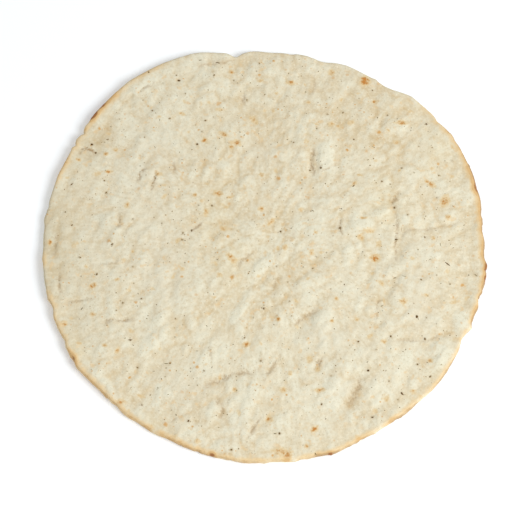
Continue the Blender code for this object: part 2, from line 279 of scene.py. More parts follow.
# Faint ones: across and down, and the ranges of their half lengths, half widths and strengths
FAINT_SEEN = (
    (305, 85), (264, 111), (209, 103), (220, 160), (276, 171), (316, 125), (189, 132), (208, 184),
    (358, 94), (341, 100), (388, 131), (399, 171), (376, 161), (432, 169), (452, 177), (452, 147),
    (109, 134), (159, 118), (185, 102), (164, 185), (67, 178), (133, 252), (71, 318), (164, 197),
    (152, 289), (173, 277), (124, 260), (202, 201), (216, 264), (220, 275), (259, 276), (214, 298),
    (205, 314), (321, 253), (308, 279), (316, 233), (226, 207), (297, 327), (372, 274), (384, 301),
    (467, 298), (447, 272), (412, 259), (131, 331), (160, 349), (129, 411), (141, 396), (175, 437),
    (261, 344), (239, 413), (220, 378), (370, 336), (420, 396), (357, 437),
)
FAINT_LONG, FAINT_WIDE, FAINT_STRENGTH = (1.5, 3.2), (1.2, 2.0), (0.36, 0.54)
# Where the dough is browner, in broad patches and in streaks
TAN_SEEN = (
    (106, 131, 11, 7, 60, 1.8), (99, 142, 9, 4, 20, 1.2), (103, 372, 10, 3, -50, 0.6),
    (126, 390, 8, 4, 0, 0.5), (137, 401, 7, 3, 0, 0.5), (164, 421, 9, 3, -30, 0.5),
    (57, 245, 18, 3, 88, 0.6), (60, 285, 12, 3, 90, 0.6), (62, 208, 8, 3, 60, 0.5),
    (254, 300, 7, 3, 80, 0.6), (277, 285, 12, 4, 75, 0.5), (393, 201, 7, 4, 65, 0.9),
    (403, 242, 9, 3.5, 65, 0.6), (378, 312, 14, 4, 80, 0.3), (303, 318, 12, 3.5, 38, 0.6),
    (353, 398, 12, 4, 62, 0.9), (358, 387, 20, 10, 62, 0.4), (413, 337, 8, 4, 10, 0.5),
    (446, 332, 7, 3, 10, 0.5), (457, 281, 8, 5, 90, 0.3), (222, 412, 9, 4, 75, 0.6),
    (230, 376, 28, 2.5, 14, 0.3), (277, 362, 12, 3, 62, 0.5), (318, 365, 9, 2.5, 65, 0.4),
    (118, 222, 8, 2.5, 85, 0.5), (175, 170, 10, 2.5, 80, 0.5), (350, 75, 14, 4, -25, 0.3),
    (313, 84, 14, 3, 85, 0.4), (375, 125, 65, 36, -20, 0.5),
    (338, 130, 26, 16, 90, 0.6), (366, 245, 18, 12, 90, 0.5), (440, 290, 20, 14, 90, 0.5),
    (198, 222, 16, 9, 90, 0.4), (402, 160, 22, 14, 0, 0.3), (280, 66, 18, 8, 0, 0.4),
    (376, 364, 18, 16, 90, 0.6), (426, 302, 18, 12, 0, 0.5), (342, 112, 34, 14, 90, 0.4),
    (342, 398, 12, 12, 0, 0.5), (390, 192, 16, 12, 90, 0.4), (270, 402, 12, 12, 0, 0.4),
)
# Where it is paler
PALE_SEEN = (
    (150, 318, 20, 12, 90, 0.8), (270, 326, 12, 12, 0, 0.6), (300, 242, 26, 16, 30, 0.7),
    (378, 316, 18, 14, 0, 0.6), (448, 350, 22, 16, 60, 0.6), (364, 424, 14, 10, 0, 0.6),
    (318, 374, 12, 10, 0, 0.4), (210, 362, 26, 18, 30, 0.5), (246, 376, 14, 10, 0, 0.4),
    (174, 278, 12, 10, 0, 0.4), (138, 155, 24, 16, 30, 0.5), (180, 182, 18, 12, 0, 0.5),
    (102, 220, 12, 20, 0, 0.4), (335, 372, 80, 55, 0, 0.4), (165, 160, 40, 36, 0, 0.3),
    (246, 182, 14, 10, 0, 0.5), (328, 182, 18, 10, 0, 0.4),
    (318, 254, 12, 10, 0, 0.6), (438, 352, 12, 10, 0, 0.5), (150, 328, 16, 14, 0, 0.4),
    (200, 362, 16, 12, 90, 0.5), (130, 132, 14, 12, 0, 0.5), (274, 260, 14, 12, 0, 0.4),
    (462, 194, 10, 16, 0, 0.4), (150, 108, 14, 10, 0, 0.5), (178, 88, 26, 10, 0, 0.3),
)
# Painted shade: where the dough is made darker and duller, along the left
PAINTED_SHADE_SEEN = (
    (40, 240, 82, 36, 90, 1.0), (90, 148, 30, 16, 50, 0.7), (72, 338, 26, 14, -60, 0.4),
    (58, 284, 30, 24, 90, 0.4),
)
# Where it is as light as elsewhere, but greyer or yellower
GREYER_SEEN = (
    (152, 160, 60, 26, 90, 0.8), (160, 265, 42, 26, 90, 1.0), (190, 390, 24, 20, 0, 0.8),
    (240, 425, 16, 14, 0, 0.6), (330, 335, 26, 18, 0, 0.8), (420, 300, 44, 22, 90, 0.8),
    (342, 390, 24, 16, 90, 0.7), (262, 150, 22, 14, 0, 0.8), (300, 190, 20, 12, 0, 0.6),
    (100, 225, 40, 18, 90, 0.3),
)
YELLOWER_SEEN = (
    (216, 215, 34, 14, 90, 0.8), (234, 262, 30, 16, 90, 0.9), (222, 140, 14, 12, 0, 0.6),
    (384, 202, 26, 16, 90, 1.0), (438, 150, 24, 14, 90, 0.8), (78, 350, 12, 9, -50, 1.2),
    (436, 376, 14, 8, 45, 0.8), (410, 402, 14, 8, 40, 0.8), (152, 424, 12, 8, -30, 0.8),
)
# Flat pale plates
PLATES_SEEN = (
    (325, 156, 17, 9, 82, 1.0), (362, 226, 14, 6, 15, 0.8), (380, 213, 9, 4, 15, 0.8),
    (351, 248, 10, 4, 20, 0.8), (405, 221, 6, 5, 90, 0.7), (435, 256, 7, 4, 20, 0.7),
    (263, 265, 17, 6, 42, 0.9), (240, 310, 16, 5, 60, 0.7), (300, 226, 9, 4, 45, 0.6),
    (322, 316, 9, 7, 20, 0.8), (100, 218, 9, 4, 5, 0.7), (142, 87, 20, 4, 32, 0.8),
    (99, 375, 26, 4, -48, 0.6), (250, 398, 16, 6, 66, 0.7), (236, 424, 12, 7, 60, 0.6),
    (158, 393, 12, 4, 80, 0.7), (147, 345, 10, 8, 45, 0.7), (461, 319, 10, 8, 60, 0.8),
    (440, 350, 8, 6, 60, 0.6), (330, 385, 10, 8, 40, 0.7), (405, 362, 12, 7, 60, 0.4),
    (310, 292, 9, 9, 0, 0.4), (335, 405, 12, 6, 50, 0.4), (325, 420, 12, 6, 30, 0.3),
)
# Where the rim is scorched
SCORCHED_SEEN = (
    (94, 116, 6, 3, 50, 0.8), (104, 105, 7, 2, 45, 0.55), (86.5, 128.5, 4.5, 2.4, 60, 0.6),
    (212.4, 454.4, 3.4, 2, -20, 0.9), (288, 459.5, 4, 2.4, 10, 0.8), (330.5, 453.5, 3, 2, 20, 0.7),
    (474, 187, 8, 2.2, 105, 0.3), (485.5, 267, 5, 1.8, 80, 0.9), (486, 280, 6, 1.8, 100, 0.7),
    (478, 305, 8, 2, 70, 0.4), (74, 358, 5, 3, -55, 0.6), (68, 348, 6, 2, -65, 0.5),
    (146, 429, 3, 1.6, -40, 0.5), (359, 438.5, 5, 2, 30, 0.5), (391, 421, 6, 1.8, 32, 0.4),
)
# Creases: half width, strength and points, with the higher dough on the left of each as it runs
CREASES_SEEN = (
    (1.4, 1.2, ((313.7, 149), (312.3, 158), (311.2, 166.5), (314, 175))),
    (1.0, 0.65, ((316, 174), (327, 169), (338, 163.5))),
    (1.3, 1.1, ((343.7, 218), (339.6, 225), (340.5, 231), (343.7, 236))),
    (1.9, 0.9, ((398.5, 192), (393, 201), (394.4, 210))),
    (1.2, 0.95, ((395.9, 213), (397.5, 227), (395.3, 245), (396, 262))),
    (1.3, 0.5, ((462, 222.5), (438, 228), (420, 231), (406, 230.5), (401, 237), (400, 246))),
    (1.2, 0.85, ((245, 94), (243, 101), (246, 106))),
    (1.4, 1.5, ((96, 155), (92, 151), (85, 148.5), (78.5, 154.5))),
    (1.2, 1.25, ((146.5, 168.3), (140, 175), (138, 182))),
    (1.3, 1.55, ((155, 170), (156.6, 175), (154.4, 184), (150, 191))),
    (1.2, 0.85, ((173, 161), (174.6, 171), (176, 178))),
    (1.3, 0.9, ((117.2, 214), (120, 220), (118.5, 229))),
    (1.2, 0.9, ((135, 321.2), (126, 320.5), (116.6, 320), (106, 323), (102.3, 327))),
    (1.2, 0.5, ((95, 298.7), (76.6, 301), (64.4, 303.7))),
    (0.9, 0.4, ((126.6, 256.6), (115, 264.4), (88.7, 264.4))),
    (1.3, 1.0, ((202.7, 222.5), (198.5, 226.2), (191.7, 230.6))),
    (1.2, 0.7, ((254.5, 253.7), (248, 256), (242, 262), (237.3, 268.7))),
    (1.7, 0.75, ((315.5, 308), (312.3, 313.7), (302.3, 318), (291, 328))),
    (1.3, 0.45, ((285, 275), (275, 281), (273.7, 297))),
    (1.2, 0.35, ((296.6, 231), (288, 242.3))),
    (1.1, 0.7, ((385, 298.5), (378, 301), (376.6, 311), (374.4, 327))),
    (1.7, 0.8, ((262.3, 370.6), (245, 373), (232.3, 373.5), (225, 378), (211, 383), (201, 390))),
    (1.3, 0.65, ((281, 353), (276, 361), (270, 371), (266, 377), (262.3, 384.5))),
    (1.4, 0.8, ((217.3, 396), (219, 403), (223, 409), (221.6, 415), (217.3, 422.5))),
    (1.2, 0.75, ((210, 346), (210, 356.5), (211.6, 362.3))),
    (1.7, 1.0, ((322.3, 357), (319.4, 362.3), (315, 371))),
    (2.3, 0.85, ((363, 376.6), (358, 385), (355, 393.7), (348, 405))),
    (1.1, 0.5, ((445, 333), (428, 341), (405, 340.5), (388, 341))),
    (1.2, 0.9, ((262, 418), (258.5, 421), (251, 434), (247, 440))),
    (0.9, 0.6, ((186.6, 413.7), (178, 418), (169.4, 423.7))),
    (0.9, 0.45, ((474, 273.7), (479.4, 278.7))),
    (1.6, 0.6, ((56.6, 229), (56, 242), (54.4, 259))),
    (1.4, 0.9, ((59.4, 272), (59.4, 289), (61, 297))),
    (1.3, 0.75, ((196.6, 66.6), (208, 65), (222, 63.7), (237, 58.5))),
    (1.2, 0.4, ((313.7, 71), (315, 88), (311.6, 96))),
    (1.2, 0.6, ((156.6, 82), (147, 87), (138, 95))),
)
# Pepper, the plainest first: across and down
BLACK_SEEN = (
    (368, 370.9), (91.8, 144.6), (372.3, 417.6), (179, 81), (426.3, 124), (416.7, 317), (95.4, 152.6),
    (279.6, 433.7), (401.9, 393.4), (197.3, 144.4), (396, 239.9), (191.7, 230.6), (130.3, 340.3),
    (188.6, 421.3), (112.4, 245), (280.6, 231.4), (358.4, 341.6), (425, 339), (321.6, 404.6),
    (424.9, 237.6), (263.7, 308.7), (148.9, 73), (321, 168.6), (340, 228.7), (231.6, 450), (205.4, 121),
    (96.9, 274.4), (394.4, 208.4), (381.7, 182), (244.6, 337.9), (142, 405.3), (170, 363.4), (212, 205.6),
    (261, 361.2), (123, 303.2), (170, 119), (141.4, 299), (183, 233.3), (182, 240), (407.3, 215.9),
)
GREY_SEEN = (
    (214.3, 76.4), (430.4, 376.4), (417.6, 364.4), (71.9, 184.7), (372.4, 90.6), (390.7, 336.6),
    (108, 139.7), (152.7, 111.4), (106.3, 192.7), (309.9, 170.3), (72, 225.4), (421, 280.4),
    (65.4, 212.3), (104.4, 180.9), (246.9, 100.3), (316.6, 129.6), (343, 113), (175.6, 319), (353.7, 140),
    (204, 371), (80.4, 258), (176.6, 75.9), (137.6, 367.6), (259.4, 64.4), (327.3, 114.7), (293.7, 143),
    (150.4, 395), (312.7, 268.7), (133, 219.6), (401.6, 168.7), (144.7, 138), (450, 284.4),
    (116.3, 310.9), (387.3, 115.9), (162, 223.7), (233.9, 80.6), (264.9, 95.2), (432, 148),
    (217.3, 259.7), (438.7, 175.6), (185.6, 94.3), (213.4, 117.4), (389, 381.4), (257.6, 157.3),
    (201.9, 132), (276.6, 266.6), (289.7, 301.6), (418.7, 146.9), (330.6, 289.4), (133, 267.3),
    (397.9, 399.7), (331, 376.3), (436.9, 198), (426.3, 318), (284, 413.3), (451.9, 161), (376, 350),
)
# Slivers of herb, the plainest first: across, down, length and heading
HERB_SEEN = (
    (402.5, 394, 4, -40), (446.8, 264, 7.5, -40), (321, 168.6, 3.4, 60), (353.4, 186.5, 3.6, 45),
    (218, 63.7, 5, -10), (394.4, 278.4, 4.4, 8), (200.3, 61, 4, 0), (81.9, 308.7, 3.6, 60),
    (313, 211.3, 3.6, -35), (315.2, 453.5, 5, -60), (275.5, 434, 4, 0), (166.5, 363.5, 5, 0),
    (381.5, 306.4, 4, 25), (403.5, 276.8, 5.5, -10), (476.5, 276, 7, -42), (440.3, 245, 5, -80),
)
# Pepper by kind: the grains, the strength of the stain round each, and the half sizes in pixels and
# the tints of the plainest and the faintest
PEPPER_KINDS = (
    (BLACK_SEEN, 1.0, (1.25, 0.62), (0.04, 0.5)),
    (GREY_SEEN, 0.6, (0.88, 0.42), (0.3, 0.9)),
)
PEPPER_CRUMBS = (0, 0, 1, 2)  # how many crumbs lie round a grain: one of these
CRUMB_AWAY = (1.2, 2.8)  # pixels from its grain
CRUMB_SHARE = (0.35, 0.6)  # size of a crumb, as a share of its grain's
CRUMB_TINT = (0.2, 1.0)
STAIN_RADIUS = 0.0008
HERB_WIDTH = (0.36, 0.16)  # half widths in millimetres of the plainest and the faintest sliver
HERB_TINT = 0.8  # of the faintest

# Fine grains strewn at random, and how grains lie
PEPPER_DUST = 420
HERB_DUST = 150
DUST_INSET = 0.004  # how far from the rim they keep
GRAIN_TILT = 0.25  # radians at most, either way
GRAIN_JOLT = (0.75, 1.2)  # how uneven a grain is
GRAIN_LIFT = 0.25  # how far its middle is above the dough, as a share of its half height

# From 0 to 1: pale to tan dough, and the darkest to the faintest grains
DOUGH_TINTS = ((0.0, (231, 227, 205)), (0.3, (227, 218, 192)), (0.8, (213, 193, 155)), (1.0, (206, 177, 133)))
PEPPER_TINTS = ((0.0, (92, 64, 30)), (0.4, (134, 106, 60)), (1.0, (162, 138, 92)))
HERB_TINTS = ((0.0, (104, 72, 32)), (0.5, (118, 100, 56)), (1.0, (150, 134, 88)))

# The light and the floor
KEY_PLACE = (1.131, -0.653, 1.18)
KEY_SIZE = 0.8
KEY_POWER = 21.9
KEY_COLOUR = (0.983, 0.992, 1.0)
SKY_COLOUR = (1.0, 0.985, 0.96, 1.0)
SKY_STRENGTH = 0.578
FLOOR_SIZE = 8.0
FLOOR_GLOW = 0.14


def shade(red, green, blue):
    """A colour as a picture shows it, 0 to 255, in the linear values that shaders take."""
    shares = (value / 255 for value in (red, green, blue))
    linear = [s / 12.92 if s <= 0.04045 else ((s + 0.055) / 1.055) ** 2.4 for s in shares]
    return (*linear, 1.0)


# ---------------------------------------------------------------- the solid's form


def step(value, start, end):
    """0 up to start, 1 from end on, and a smooth rise between them."""
    share = np.clip((value - start) / (end - start), 0.0, 1.0)
    return share * share * (3 - 2 * share)


def raised(degrees, stretches):
    """The height, at each heading, of raised stretches that each rise, stay full and fall."""
    height = np.zeros_like(degrees)
    for start, full_from, full_to, end, tall in stretches:
        turned = start + (degrees - start) % 360
        height += tall * step(turned, start, full_from) * (1 - step(turned, full_to, end))
    return height


def ripples(x, y, length, seed):
    """Smooth random waves of about that length at each point, between -1 and 1."""
    return np.array([noise.noise(Vector((a, b, seed))) for a, b in zip(x / length, y / length)])


def by_turns(x, y, length, seed, start, end):
    """0 in some places and 1 in others, by smooth random waves that rise from start to end."""
    return step(ripples(x, y, length, seed), start, end)


def between(share, first, last):
    """The value at that share of the way from the first to the last."""
    return first + (last - first) * share


def outline(angle):
    """Distance from the middle to the rim's outermost line, at each angle."""
    degrees = np.degrees(angle) % 360
    reach = RADIUS + raised(degrees, SWELLS)
    for middle, half_width, depth in NICKS + CHIPS:
        away = np.abs((degrees - middle + 180) % 360 - 180)
        reach -= depth * np.exp(-((away / half_width) ** 2))
    rag = ripples(RADIUS * np.cos(angle), RADIUS * np.sin(angle), RAG_LENGTH, 0.0)
    return reach + RAG_DEPTH * rag


def curl(angle, share):
    """How far the rim has curled up off the table, at a share of the way out."""
    return raised(np.degrees(angle) % 360, CURLS) * step(share, CURL_FROM, 1.0) ** CURL_POWER


def drawn_out(x, y, stretch):
    """The point's place along and across the way in which the dough was pressed, drawn out."""
    turn = math.radians(WAVE_HEADING)
    along = (x * math.cos(turn) + y * math.sin(turn)) / stretch
    return along, y * math.cos(turn) - x * math.sin(turn)


def in_frame(x, y, middle, half_size, heading):
    """Points in a frame at that middle and heading, in halves of its length and width."""
    turn = math.radians(heading)
    along = (x - middle[0]) * math.cos(turn) + (y - middle[1]) * math.sin(turn)
    aside = (y - middle[1]) * math.cos(turn) - (x - middle[0]) * math.sin(turn)
    return along / half_size[0], aside / half_size[1]


def to_segment(x, y, start, end):
    """Each point's distance from a segment, below 0 on its right, and its share of the way along."""
    run_x, run_y = end[0] - start[0], end[1] - start[1]
    share = ((x - start[0]) * run_x + (y - start[1]) * run_y) / (run_x ** 2 + run_y ** 2)
    share = np.clip(share, 0.0, 1.0)
    away = np.hypot(x - start[0] - share * run_x, y - start[1] - share * run_y)
    left = run_x * (y - start[1]) - run_y * (x - start[0])
    return np.where(left < 0, -away, away), share


def relief(x, y):
    """Height of the solid's top above the plain thickness."""
    height = np.zeros_like(x)
    for middle_x, middle_y, length, width, heading, tall in PADS:
        along, aside = in_frame(x, y, (middle_x, middle_y), (length / 2, width / 2), heading)
        height += tall * np.exp(-((along ** 2 + aside ** 2) ** (PAD_POWER / 2)))
    for start, end, width, deep in FURROWS:
        away, _ = to_segment(x, y, start, end)
        height -= deep * np.exp(-((2 * away / width) ** 2))
    along, across = drawn_out(x, y, WAVE_STRETCH)
    for length, tall in WAVES:
        height += tall * ripples(along, across, length, WAVE_SEED)
    return height


# ---------------------------------------------------------------- what the picture shows


def seen_at(across, down, height):
    """The point at that height which the camera sees at a pixel of the picture."""
    back = Vector((0, -math.cos(ELEVATION), math.sin(ELEVATION)))
    per_pixel = SENSOR / LENS / PICTURE
    right = (across - PICTURE / 2) * per_pixel
    up = (PICTURE / 2 - down) * per_pixel
    ray = -back + Vector((right, up * math.sin(ELEVATION), up * math.cos(ELEVATION)))
    eye = AIM + back * DISTANCE
    return eye + ray * ((height - eye.z) / ray.z)


def on_top(across, down):
    """The place on the crust which the camera sees at a pixel: x and y."""
    flat = seen_at(across, down, THICKNESS)
    angle = np.array([math.atan2(flat.y, flat.x)])
    lifted = curl(angle, flat.xy.length / outline(angle))[0]
    return tuple(seen_at(across, down, THICKNESS + lifted).xy)


def in_mark(x, y, across, down, long, wide, heading):
    """Points in the frame of a mark that the picture shows, in its half sizes."""
    return in_frame(x, y, on_top(across, down), (long * PIXEL, wide * PIXEL), heading)


def patches(x, y, marks):
    """The sum of broad soft patches that the picture shows."""
    total = np.zeros_like(x)
    for *mark, strength in marks:
        along, aside = in_mark(x, y, *mark)
        total += strength * np.exp(-(along ** 2 + aside ** 2))
    return total


def plates(x, y):
    """How much each point is on one of the flat pale plates that the picture shows, up to 1."""
    uneven = PLATE_UNEVEN * ripples(x, y, PLATE_LENGTH, PLATE_SEED)
    most = np.zeros_like(x)
    for *mark, strength in PLATES_SEEN:
        away = np.hypot(*in_mark(x, y, *mark)) + uneven
        most = np.maximum(most, strength * (1 - step(away, *PLATE_EDGE)))
    return most


def nearest_crease(x, y):
    """Each point's distance from the nearest crease, in its half widths, and how strong it is there."""
    x = x + CREASE_SWAY * ripples(x, y, CREASE_BREAK, CREASE_SEEDS[0])
    y = y + CREASE_SWAY * ripples(x, y, CREASE_BREAK, CREASE_SEEDS[1])
    nearest, aside, strength = np.full_like(x, FAR), np.full_like(x, FAR), np.zeros_like(x)
    for half_width, full, points in CREASES_SEEN:
        places = [on_top(across, down) for across, down in points]
        lengths = [math.dist(*ends) for ends in zip(places, places[1:])]
        for number, ends in enumerate(zip(places, places[1:])):
            away, share = to_segment(x, y, *ends)
            part = (sum(lengths[:number]) + share * lengths[number]) / sum(lengths)
            nearer = np.abs(away) < nearest
            nearest = np.minimum(nearest, np.abs(away))
            aside = np.where(nearer, away / (half_width * PIXEL), aside)
            strength = np.where(nearer, full * np.sqrt(np.sin(math.pi * part).clip(0)), strength)
    return aside.clip(-CREASE_REACH, CREASE_REACH), strength * (np.abs(aside) < CREASE_END)


# ---------------------------------------------------------------- the fine relief


def lump_waves(x, y):
    """How clear the valleys are, and for each size of lump, waves that are 0 along the valleys."""
    clear = by_turns(x, y, *VALLEYS_CLEAR)
    along, across = drawn_out(x, y, LUMP_STRETCH)
    waves = []
    for length, _, seed in LUMPS:
        upright = ripples(along, across, length, seed)
        waves.append(ripples(along, across - LUMP_LEAN * length * np.abs(upright), length, seed))
    return clear, *waves


def fine_relief(x, y):
    """The lumps, creases and crumbs that the solid leaves out."""
    height = PLATE_HEIGHT * plates(x, y)
    clear, *waves = lump_waves(x, y)
    for (_, tall, _), wave in zip(LUMPS, waves):
        height += tall * between(clear, LEAST_LUMP, 1) * np.sqrt(wave ** 2 + VALLEY_WIDTH ** 2)
    for length, tall, seed in CRUMBS:
        height += tall * ripples(x, y, length, seed)
    aside, strength = nearest_crease(x, y)
    broken = CREASE_MEAN + CREASE_SWING * ripples(x, y, CREASE_BREAK, CREASE_SEEDS[2])
    return height + CREASE_STEP * broken * strength * aside * np.exp(-np.abs(aside))


def top_height(x, y):
    """Height of the dressed top, rounded off next to the rim."""
    angle = np.arctan2(y, x)
    reach = outline(angle)
    distance = np.hypot(x, y)
    inset = np.clip(reach - distance, 0.0, TOP_ROUND)
    shoulder = np.sqrt(np.clip(1 - (1 - inset / TOP_ROUND) ** 2, 0.0, 1.0))
    share = RIM_MIDDLE + (1 - RIM_MIDDLE) * shoulder
    height = THICKNESS + relief(x, y) + fine_relief(x, y)
    return share * height + curl(angle, distance / reach)


# ---------------------------------------------------------------- the mesh


def round_grid(cells):
    """A square grid of that many cells rounded to the unit disc: x and y of its points."""
    line = np.linspace(-1.0, 1.0, cells + 1)
    x, y = (side.ravel() for side in np.meshgrid(line, line))
    wide = np.abs(x) >= np.abs(y)
    far, near = np.where(wide, x, y), np.where(wide, y, x)
    turn = math.pi / 4 * np.divide(near, far, out=np.zeros_like(near), where=far != 0)
    long, short = far * np.cos(turn), far * np.sin(turn)
    return np.where(wide, long, short), np.where(wide, short, long)


def grid_faces(cells):
    """The grid's squares, counterclockwise seen from above."""
    row = cells + 1
    first = (np.arange(cells)[:, None] * row + np.arange(cells)[None, :]).ravel()
    return np.stack([first, first + 1, first + row + 1, first + row], axis=1)


def grid_border(cells):
    """The grid's border points, counterclockwise seen from above."""
    row, side = cells + 1, np.arange(cells)
    bottom, right = side, side * row + cells
    top, left = cells * row + cells - side, (cells - side) * row
    return np.concatenate([bottom, right, top, left])


def reaching(x, y, inset):
    """A unit disc's points spread to the outline, less an inset at the border."""
    share = np.hypot(x, y)
    angle = np.arctan2(y, x)
    reach = RADIUS + (outline(angle) - RADIUS) * share * share - inset
    return reach * x, reach * y


def rim_ring(angle, inset, share):
    """A ring of the rim: so far in from the outline, at a share of the thickness, and crumbly."""
    reach = outline(angle)
    x, y = reach * np.cos(angle), reach * np.sin(angle)
    height = share * (THICKNESS + relief(x, y)) + curl(angle, 1.0)
    ragged = LEAST_RAGGED + RAGGED_GAIN * by_turns(x, y, *RIM_RAGGED)
    for length, tall, seed in RIM_CRUMBS:
        places = zip(x / length, y / length, height / length + seed)
        crumbs = np.array([noise.noise(Vector(place)) for place in places])
        reach = reach + tall * ragged * crumbs
    return (reach - inset) * np.cos(angle), (reach - inset) * np.sin(angle), height


class Shell:
    """A mesh being put together, with up to three values of each named kind at every point."""

    def __init__(self):
        self.points, self.faces, self.values = [], [], {}
        self.count = 0

    def add_points(self, x, y, z, **values):
        """Adds points, and returns their numbers. Each kind has one value, or a tuple of up to three."""
        self.points.append(np.stack([x, y, z], axis=1))
        for name, given in values.items():
            parts = given if isinstance(given, tuple) else (given,)
            columns = [np.broadcast_to(part, x.shape) for part in (*parts, 0.0, 0.0)[:3]]
            self.values.setdefault(name, []).append(np.stack(columns, axis=1))
        self.count += len(x)
        return np.arange(self.count - len(x), self.count)

    def add_faces(self, faces):
        self.faces.extend(faces.tolist())

    def add_band(self, upper, lower):
        """A band of squares between two rings, facing out."""
        after_upper, after_lower = np.roll(upper, -1), np.roll(lower, -1)
        self.add_faces(np.stack([upper, lower, after_lower, after_upper], axis=1))

    def add_halving_band(self, outer, inner):
        """A band from a ring to one with half as many points, facing down."""
        even, odd, after = outer[0::2], outer[1::2], np.roll(outer[0::2], -1)
        after_inner = np.roll(inner, -1)
        self.add_faces(np.stack([even, inner, odd], axis=1))
        self.add_faces(np.stack([odd, inner, after_inner], axis=1))
        self.add_faces(np.stack([odd, after_inner, after], axis=1))

    def finish(self, name, material):
        """The object, shaded smooth."""
        mesh = bpy.data.meshes.new(name)
        mesh.from_pydata(np.concatenate(self.points).tolist(), [], self.faces)
        for kind, given in self.values.items():
            hold(mesh, kind, "POINT", np.concatenate(given))
        mesh.shade_smooth()
        mesh.materials.append(material)
        piece = bpy.data.objects.new(name, mesh)
        bpy.context.scene.collection.objects.link(piece)
        return piece


def hold(mesh, kind, domain, values):
    """Keeps three values of that kind at every point or face of the mesh."""
    layer = mesh.attributes.new(kind, "FLOAT_VECTOR", domain)
    layer.data.foreach_set("vector", values.ravel().astype(np.float32))


def upward_faces(mesh):
    """The middle of each face, x and y, and whether it faces up."""
    centres, normals = (np.zeros(3 * len(mesh.polygons)) for _ in range(2))
    mesh.polygons.foreach_get("center", centres)
    mesh.polygons.foreach_get("normal", normals)
    x, y, _ = centres.reshape(-1, 3).T
    return x, y, normals.reshape(-1, 3)[:, 2] > 0


def nearest_marks(mesh, marks):
    """The values of the mark that is nearest to each upward face, by the mark's own half sizes.

    A mark is its middle, half sizes, heading and values. Faces beyond reach or facing down get 0.
    """
    x, y, upward = upward_faces(mesh)
    nearest = np.full_like(x, FAR)
    values = np.zeros((len(x), len(marks[0][-1])))
    for *frame_of_mark, own_values in marks:
        away = np.hypot(*in_frame(x, y, *frame_of_mark))
        values[(away < nearest) & upward] = own_values
        nearest = np.minimum(nearest, away)
    return values


def mark_specks(mesh):
    """Tells each upward face its nearest grain of pepper: place and strength of its stain."""
    specks = []
    for marks, strength, _, _ in PEPPER_KINDS:
        for across, down in marks:
            middle = on_top(across, down)
            specks.append((middle, (1, 1), 0, (*middle, strength)))
    hold(mesh, "speck", "FACE", nearest_marks(mesh, specks))


def mark_spots(mesh, draw):
    """Tells each upward face its nearest toasted spot: place and strength, then axis and roundness."""
    faint = []
    for place in FAINT_SEEN:
        half_size = (draw.uniform(*FAINT_LONG), draw.uniform(*FAINT_WIDE))
        faint.append((*place, *half_size, draw.uniform(0, 180), draw.uniform(*FAINT_STRENGTH)))
    spots = []
    for across, down, long, wide, heading, strength in (*TOASTED_SEEN, *faint):
        middle, turn = on_top(across, down), math.radians(heading)
        half_size = (long * PIXEL, wide * PIXEL)
        axis = (math.cos(turn) / half_size[0], math.sin(turn) / half_size[0], long / wide)
        spots.append((middle, half_size, heading, (*middle, strength, *axis)))
    values = nearest_marks(mesh, spots)
    hold(mesh, "spot", "FACE", values[:, :3])
    hold(mesh, "spot_axis", "FACE", values[:, 3:])


def browned(x, y, inset):
    """How browned each point is, so far inside the outline: its golden band, and its brown line, which is
    partly painted shade.

    The band is strongest at the rim, and stronger still where the rim is scorched.
    """
    degrees = np.degrees(np.arctan2(y, x)) % 360
    golden = LEAST_GOLDEN + raised(degrees, GOLDEN_RIM)
    width = GOLDEN_BAND * (1 + BAND_GROWTH * np.sin(np.radians(degrees)))
    band = golden * np.exp(-((inset / width) ** 2)) + patches(x, y, SCORCHED_SEEN)
    # strongest towards the lamp: painted shade that tones down its light on the rim
    turned = LINE_MEAN + LINE_SWING * np.cos(np.radians(degrees - LINE_STRONGEST_HEADING))
    return band, turned * golden * np.exp(-((inset / BROWN_LINE) ** 2))


